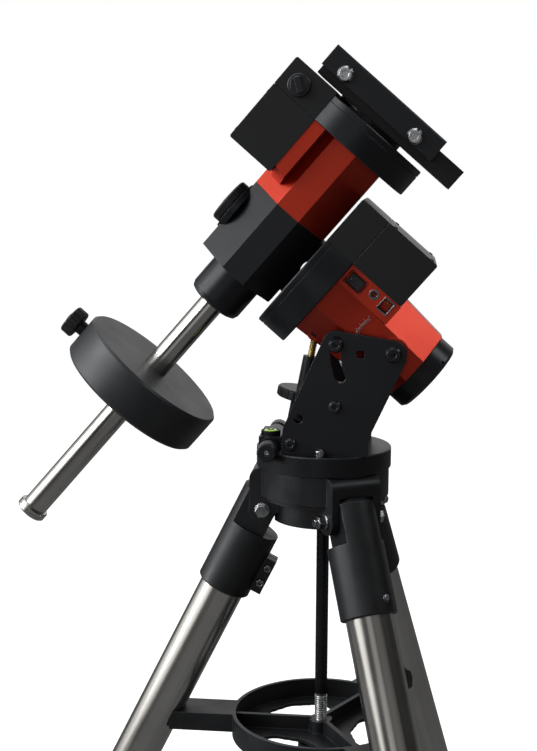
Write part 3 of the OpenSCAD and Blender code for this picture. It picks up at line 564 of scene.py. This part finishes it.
def make_piece(name, mesh, matrix, body, material):
    """Turns a mesh into a named piece that moves with a body of the model."""
    mesh.transform(matrix)
    if matrix.determinant() < 0:
        bmesh.ops.reverse_faces(mesh, faces=mesh.faces)
    data = bpy.data.meshes.new(name)
    mesh.to_mesh(data)
    mesh.free()
    data.materials.append(material)
    data.shade_smooth()
    data.set_sharp_from_angle(angle=math.radians(32))
    piece = bpy.data.objects.new(name, data)
    bpy.context.scene.collection.objects.link(piece)
    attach(piece, body)
    return piece


# Operators: the model's own parts


class MOUNT_OT_dress_tripod(Operator):
    """Finish the tripod head, legs, spreader and feet"""

    bl_idname = "mount.dress_tripod"
    bl_label = "Tripod finishes"

    def execute(self, context):
        dress(PIER, "tripod_head", "spreader", "spreader_knob", "tripod_bolts")
        rod = frame["nodes"]["centre_rod"].data
        rod.materials.clear()
        thread_top = PIER.translation.z - THREAD_DROP * MM
        rod.materials.append(threaded_rod("black_rod.centre_rod", PIER, thread_top))
        for leg in LEGS:
            dress(LEG[leg], f"leg_cap_{leg}", f"leg_tube_{leg}", f"leg_collar_{leg}", f"leg_lock_{leg}",
                  f"lower_tube_{leg}", f"foot_{leg}")
        return {"FINISHED"}


class MOUNT_OT_dress_azimuth(Operator):
    """Finish the azimuth base, its side plates, its screws and the altitude jack"""

    bl_idname = "mount.dress_azimuth"
    bl_label = "Azimuth base finishes"

    def execute(self, context):
        dress(PIER, "azimuth_base", "azimuth_block", "plate_bolts", "level_vial")
        dress(at(PIER, facing="-Y"), "side_plates", "azimuth_screw_front", "azimuth_screw_rear")
        dress(JACK, "jack_yoke", "jack_wheel", "jack_screw")
        return {"FINISHED"}


class MOUNT_OT_dress_polar(Operator):
    """Finish the polar axis, from its gear housing to its end cap"""

    bl_idname = "mount.dress_polar"
    bl_label = "Polar axis finishes"

    def execute(self, context):
        dress(POLAR, "ra_gear_housing", "polar_cap", "ra_shaft", "ra_worm_wheel")
        dress(HEAD, "ra_body", "ra_motor_cover", "control_panel", "power_switch", "altitude_bolts", "ra_worm",
              "ra_clutch_knob")
        return {"FINISHED"}


class MOUNT_OT_dress_declination(Operator):
    """Finish the declination axis and the saddle"""

    bl_idname = "mount.dress_declination"
    bl_label = "Declination axis finishes"

    def execute(self, context):
        dress(DEC, "dec_body_lower", "dec_body_upper", "dec_gear_housing", "dec_motor_cover", "dec_clutch_knob",
              "dec_worm", "dec_shaft", "dec_worm_wheel")
        dress(at(DEC, facing="-X"), "dec_front_cap")
        dress(DEC, "saddle", "saddle_jaw", "saddle_screws")
        return {"FINISHED"}


class MOUNT_OT_dress_counterweight(Operator):
    """Finish the counterweight, its shaft, knob and end cap"""

    bl_idname = "mount.dress_counterweight"
    bl_label = "Counterweight finishes"

    def execute(self, context):
        dress(DEC, "cw_shaft", "cw_end_cap", "counterweight")
        dress(at(DEC, facing="-X"), "cw_knob")
        return {"FINISHED"}


# Operators: small fittings


class MOUNT_OT_add_clamp_screws(Operator):
    """Add the two clamp screws and nuts of each leg cap, and the screw that holds its tube"""

    bl_idname = "mount.add_clamp_screws"
    bl_label = "Leg cap screws"

    def execute(self, context):
        fittings = context.scene.mount_fittings
        head = fittings.clamp_screw / MM
        for leg in LEGS:
            steel = bolt_steel(f"bolt_steel.leg_screws_{leg}", LEG[leg], (0.26, 0.26, 0.27))
            parts = []
            for z in (-81.5, -62.5):
                parts.append((socket_screw(head, 4.2, 17.0, 2.3), at(ORIGIN, -36.0, -7.1, z, "-Y")))
                parts.append((hexagon_nut(4.0, 3.2, 2.2), at(ORIGIN, -36.0, 11.0, z, "Y")))
            screw = Matrix.Rotation(math.radians(TUBE_SCREW[leg]), 4, "Z")
            parts.append((cross_screw(4.2, 1.8), screw @ at(ORIGIN, 30.3, 0.0, -91.0, "X")))
            make_piece(f"leg_cap_screws_{leg}", join(parts), LEG[leg], f"leg_{leg}", steel)
        return {"FINISHED"}


TUBE_SCREW = {1: 197.0, 2: 17.0, 3: -17.0}


class MOUNT_OT_add_level(Operator):
    """Add the round level's black rim, its bubble and the circle round the bubble"""

    bl_idname = "mount.add_level"
    bl_label = "Round level"

    def execute(self, context):
        low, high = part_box("level_vial")
        middle = (low + high) / 2
        place = Matrix.Translation((middle.x, middle.y, high.z)) @ Matrix.Scale(MM, 4)
        rim = ring(8.6, 10.6, 4.2, 0.5)
        make_piece("level_rim", rim, place @ Matrix.Translation((0, 0, -5.0)), "azimuth",
                   black_plastic("black_plastic.level_rim", PIER))
        bubble = lathe([(0, -0.1), (2.2, -0.1), (2.5, 0.1), (2.1, 0.45), (1.2, 0.7), (0, 0.8)], 40)
        make_piece("level_bubble", bubble, place @ Matrix.Translation((0.6, -0.4, -0.1)), "azimuth",
                   clear_liquid("clear_liquid.level_bubble"))
        make_piece("level_circle", ring(3.3, 3.7, 0.5, 0.1), place @ Matrix.Translation((0, 0, -0.35)), "azimuth",
                   dark_recess("dark_recess.level_circle", PIER))
        return {"FINISHED"}


class MOUNT_OT_add_socket_screws(Operator):
    """Add the bright screws inside the azimuth knobs and the declination cap, and a black screw in the counterweight
    knob
    """

    bl_idname = "mount.add_socket_screws"
    bl_label = "Knob screws"

    def execute(self, context):
        for side, name, facing in ((-1, "front", "-Y"), (1, "rear", "Y")):
            low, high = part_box(f"azimuth_screw_{name}")
            middle = (low + high) / 2
            end = low.y if side < 0 else high.y
            spot = PIER.inverted() @ Vector((middle.x, end, middle.z))
            place = at(PIER, spot.x, spot.y - side * 4.9, spot.z, facing)
            make_piece(f"azimuth_knob_screw_{name}", socket_screw(2.9, 3.6), place, f"azimuth_screw_{name}",
                       bolt_steel(f"bolt_steel.azimuth_knob_{name}"))
        low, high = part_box("cw_knob")
        knob = at(DEC, facing="-X")
        ends = [(knob.inverted() @ Vector(v.co)).z for v in frame["nodes"]["cw_knob"].data.vertices]
        heights = [(knob.inverted() @ Vector(v.co)).x for v in frame["nodes"]["cw_knob"].data.vertices]
        middle = (min(heights) + max(heights)) / 2
        place = knob @ Matrix.Translation((middle, 0, max(ends) - 0.05))
        make_piece("weight_knob_screw", socket_screw(5.2, 1.8), place,
                   "cw_knob", black_anodised("black_anodised.weight_knob_screw", knob))
        ends = [(knob.inverted() @ Vector(v.co)).z for v in frame["nodes"]["dec_front_cap"].data.vertices]
        parts = []
        for k in range(3):
            turn = Matrix.Rotation(math.radians(25 + 120 * k), 4, "Z")
            parts.append((socket_screw(1.5, 0.6), turn @ Matrix.Translation((19.5, 0, max(ends) - 0.05))))
        make_piece("front_cap_screws", join(parts), knob, "dec_front_cap",
                   bolt_steel("bolt_steel.front_cap_screws", DEC))
        return {"FINISHED"}


class MOUNT_OT_add_panel_fittings(Operator):
    """Add the control panel's switch bezel and marks, its power jack and its hand-controller socket"""

    bl_idname = "mount.add_panel_fittings"
    bl_label = "Control panel fittings"

    def execute(self, context):
        plastic = black_plastic("black_plastic.panel_fittings")
        steel = bolt_steel("bolt_steel.panel_fittings", HEAD, (0.2, 0.2, 0.21))
        front = -58.0
        bezel = rounded_frame(11.4, 7.8, 10.5, 6.9, -0.4, 0.9, 1.0)
        make_piece("switch_bezel", bezel, at(HEAD, -80, front, 30, "-Y"), "altitude", plastic)
        marks = bmesh.new()
        block(marks, (-5.6, -1.7, 0), (-5.1, 1.7, 0.12), 0.03)
        marks = join([(marks, ORIGIN), (ring(1.25, 1.75, 0.12, 0.03), Matrix.Translation((5.0, 0, 0)))])
        make_piece("switch_marks", marks, SWITCH_FACE, "power_switch",
                   white_mark("white_mark.switch"))
        jack = join([
            (ring(4.2, 5.6, 1.0), Matrix.Translation((0, 0, -0.5))),
            (ring(3.0, 4.9, 8.0), Matrix.Translation((0, 0, -9.2))),
            (lathe([(0, 0), (1.1, 0), (1.1, 6.2), (0.8, 7.0), (0, 7.2)], 24), Matrix.Translation((0, 0, -9.6)))])
        make_piece("power_jack", jack, at(HEAD, -57, front, 33, "-Y"), "altitude", steel)
        shell = rounded_frame(6.9, 7.9, 5.6, 6.6, -0.3, 0.9, 0.8)
        inner = rounded_frame(5.95, 6.95, 4.9, 5.9, -11.5, -0.4, 0.6)
        place = at(HEAD, -40, front, 32, "-Y")
        make_piece("controller_socket_shell", shell, place, "altitude", steel)
        make_piece("controller_socket_body", inner, place, "altitude", plastic)
        pins = bmesh.new()
        for k in range(6):
            x = -3.4 + k * 1.36
            block(pins, (x - 0.25, 3.9, -9.0), (x + 0.25, 4.3, -1.6), 0.1)
            block(pins, (x - 0.25, 2.2, -9.2), (x + 0.25, 4.3, -8.7), 0.1)
        make_piece("controller_socket_pins", pins, place, "altitude", brass("brass.socket_pins", HEAD))
        return {"FINISHED"}


SWITCH_FACE = at(HEAD, -80, -59.0, 30, "-Y")


class MOUNT_OT_add_cover_screws(Operator):
    """Add the small screws that hold the motor covers, on their faces away from the front"""

    bl_idname = "mount.add_cover_screws"
    bl_label = "Cover screws"

    def execute(self, context):
        size = context.scene.mount_fittings.cover_screw / MM
        steel = black_rod("black_rod.cover_screws", HEAD)
        parts = []
        for x in (-86.0, -36.0):
            for y in (-54.0, 54.0):
                parts.append((socket_screw(size, 1.1), at(ORIGIN, x, y, 98.95)))
        make_piece("polar_cover_screws", join(parts), HEAD, "altitude", steel)
        parts = []
        for z in (66.0, 116.0):
            for y in (-54.0, 54.0):
                parts.append((socket_screw(size, 1.1), at(ORIGIN, -96.75, y, z, "-X")))
        make_piece("declination_cover_screws", join(parts), DEC, "dec_unit", steel)
        return {"FINISHED"}


class MOUNT_OT_add_latitude_scale(Operator):
    """Add the latitude scale's marks on the red polar body"""

    bl_idname = "mount.add_latitude_scale"
    bl_label = "Latitude scale"

    def execute(self, context):
        count = context.scene.mount_fittings.scale_marks
        marks = bmesh.new()
        for k in range(count):
            angle = math.radians(181 + 1.5 * (k - count // 2))
            length = 6.0 if k % 5 == 0 else 3.6
            turn = Matrix.Rotation(angle, 4, "Z")
            block(marks, (42.0, -0.22, 0), (42.0 + length, 0.22, 0.14), 0.04, turn)
        make_piece("latitude_marks", marks, at(HEAD, 0, -47.6, 0, "-Y"), "altitude",
                   white_mark("white_mark.latitude"))
        return {"FINISHED"}


# Brightness of the room round the mount: the share of a full turn from the right-hand side, and the level there


ROOM_BANDS = (
    (0.0, 1.1), (0.02, 1.8), (0.1, 1.5), (0.14, 0.06), (0.19, 0.06), (0.21, 0.42), (0.26, 0.4), (0.28, 0.05),
    (0.3, 0.18), (0.37, 0.16), (0.4, 0.03), (0.6, 0.03), (0.67, 0.8), (0.82, 0.8), (0.835, 0.05), (0.88, 0.05),
    (0.95, 1.1))


def floor_material():
    """A pale floor that stays pale for the camera and throws little light up at the mount"""
    material = bpy.data.materials.new("studio_floor")
    material.use_nodes = True
    material.node_tree.nodes.clear()
    graph = Graph(material.node_tree)
    lit = graph.add("ShaderNodeBsdfDiffuse", {"Color": (0.8, 0.8, 0.8, 1.0)})
    glow = graph.add("ShaderNodeEmission", {"Color": (1.0, 1.0, 1.0, 1.0), "Strength": 0.72})
    pale = graph.add("ShaderNodeAddShader", {0: lit.outputs[0], 1: glow.outputs[0]})
    dim = graph.add("ShaderNodeBsdfDiffuse", {"Color": (0.16, 0.16, 0.16, 1.0)})
    path = graph.add("ShaderNodeLightPath")
    seen = path.outputs["Is Camera Ray"]
    both = graph.add("ShaderNodeMixShader", {0: seen, 1: dim.outputs[0], 2: pale.outputs[0]})
    graph.add("ShaderNodeOutputMaterial", {0: both.outputs[0]})
    return material


class MOUNT_OT_set_studio(Operator):
    """Set up the pale floor, the soft lights and the camera"""

    bl_idname = "mount.set_studio"
    bl_label = "Studio"

    def execute(self, context):
        studio = context.scene.mount_studio
        floor_mesh = bmesh.new()
        bmesh.ops.create_grid(floor_mesh, x_segments=24, y_segments=24, size=14.0)
        data = bpy.data.meshes.new("studio_floor")
        floor_mesh.to_mesh(data)
        floor_mesh.free()
        data.materials.append(floor_material())
        floor = bpy.data.objects.new("studio_floor", data)
        floor.location.z = -0.0005
        context.scene.collection.objects.link(floor)
        floor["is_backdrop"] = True
        low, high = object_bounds()
        aim = (Vector(low) + Vector(high)) / 2
        aim.z = 0.95
        for name, place, power, size, size_y in (
            ("key_light", (-1.9, -1.5, 2.3), studio.key_light, 1.1, 1.5),
            ("side_light", (-2.4, -0.4, 1.6), studio.side_light, 0.7, 1.6),
            ("high_light", (1.9, -0.25, 2.55), studio.high_light, 0.8, 0.8),
            ("fill_light", (-0.4, -3.0, 0.9), studio.fill_light, 0.8, 1.4),
            ("top_light", (-0.2, 0.3, 3.1), studio.top_light, 1.6, 1.6),
        ):
            light = bpy.data.lights.new(name, "AREA")
            light.shape = "RECTANGLE"
            light.size = size
            light.size_y = size_y
            light.energy = power
            light.color = (0.93, 0.965, 1.0)
            lamp = bpy.data.objects.new(name, light)
            lamp.location = place
            lamp.rotation_euler = (aim - Vector(place)).to_track_quat("-Z", "Y").to_euler()
            context.scene.collection.objects.link(lamp)
        world = bpy.data.worlds.new("studio_room")
        world.use_nodes = True
        context.scene.world = world
        world.node_tree.nodes.clear()
        graph = Graph(world.node_tree)
        coords = graph.add("ShaderNodeTexCoord").outputs["Generated"]
        around = graph.add("ShaderNodeTexGradient", {0: coords}, gradient_type="RADIAL").outputs[1]
        bands = graph.add("ShaderNodeValToRGB", {0: around})
        ramp = bands.color_ramp
        ramp.elements[0].position, ramp.elements[0].color = ROOM_BANDS[0][0], (ROOM_BANDS[0][1],) * 3 + (1.0,)
        ramp.elements[1].position, ramp.elements[1].color = 1.0, (ROOM_BANDS[0][1],) * 3 + (1.0,)
        for position, level in ROOM_BANDS[1:]:
            ramp.elements.new(position).color = (level,) * 3 + (1.0,)
        path = graph.add("ShaderNodeLightPath")
        room = graph.add("ShaderNodeBackground", {"Color": bands.outputs[0], "Strength": studio.surround})
        wall = graph.add("ShaderNodeBackground", {"Color": (1.0, 1.0, 1.0, 1.0), "Strength": 1.0})
        seen = path.outputs["Is Camera Ray"]
        both = graph.add("ShaderNodeMixShader", {0: seen, 1: room.outputs[0], 2: wall.outputs[0]})
        graph.add("ShaderNodeOutputWorld", {0: both.outputs[0]})
        camera = bpy.data.cameras.new("camera")
        camera.lens = 63.64
        camera.sensor_width = 36.0
        camera.clip_end = 100.0
        pitch, yaw, roll = 0.1530, -0.1063, 0.0053
        forward = Vector((math.sin(yaw) * math.cos(pitch), math.cos(yaw) * math.cos(pitch), -math.sin(pitch)))
        right = Vector((math.cos(yaw), -math.sin(yaw), 0))
        up = right.cross(forward)
        side = right * math.cos(roll) + up * math.sin(roll)
        top = up * math.cos(roll) - right * math.sin(roll)
        eye = bpy.data.objects.new("camera", camera)
        turn = Matrix((side, top, -forward)).transposed().to_4x4()
        eye.matrix_world = Matrix.Translation(PIER.translation + Vector((0.09130, -1.43651, 0.29834))) @ turn
        context.scene.collection.objects.link(eye)
        context.scene.camera = eye
        context.scene.view_settings.view_transform = "Standard"
        return {"FINISHED"}


class MOUNT_PT_panel(Panel):
    """Lists the mount's finishes and fittings"""

    bl_label = "Equatorial mount"
    bl_idname = "MOUNT_PT_panel"
    bl_space_type = "VIEW_3D"
    bl_region_type = "UI"
    bl_category = "Mount"

    def draw(self, context):
        for group in (context.scene.mount_colours, context.scene.mount_fittings, context.scene.mount_studio):
            box = self.layout.box()
            for name in group.__annotations__:
                box.prop(group, name)
        for step in STEPS:
            self.layout.operator(step.bl_idname)


STEPS = (
    MOUNT_OT_dress_tripod,
    MOUNT_OT_dress_azimuth,
    MOUNT_OT_dress_polar,
    MOUNT_OT_dress_declination,
    MOUNT_OT_dress_counterweight,
    MOUNT_OT_add_clamp_screws,
    MOUNT_OT_add_level,
    MOUNT_OT_add_socket_screws,
    MOUNT_OT_add_panel_fittings,
    MOUNT_OT_add_cover_screws,
    MOUNT_OT_add_latitude_scale,
    MOUNT_OT_set_studio,
)
CLASSES = (MountColours, MountFittings, MountStudio, *STEPS, MOUNT_PT_panel)


def register():
    for cls in CLASSES:
        bpy.utils.register_class(cls)
    bpy.types.Scene.mount_colours = PointerProperty(type=MountColours)
    bpy.types.Scene.mount_fittings = PointerProperty(type=MountFittings)
    bpy.types.Scene.mount_studio = PointerProperty(type=MountStudio)


def unregister():
    del bpy.types.Scene.mount_studio
    del bpy.types.Scene.mount_fittings
    del bpy.types.Scene.mount_colours
    for cls in reversed(CLASSES):
        bpy.utils.unregister_class(cls)


def main():
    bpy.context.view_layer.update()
    register()
    for step in STEPS:
        group, name = step.bl_idname.split(".")
        getattr(getattr(bpy.ops, group), name)()


if __name__ == "__main__":
    main()
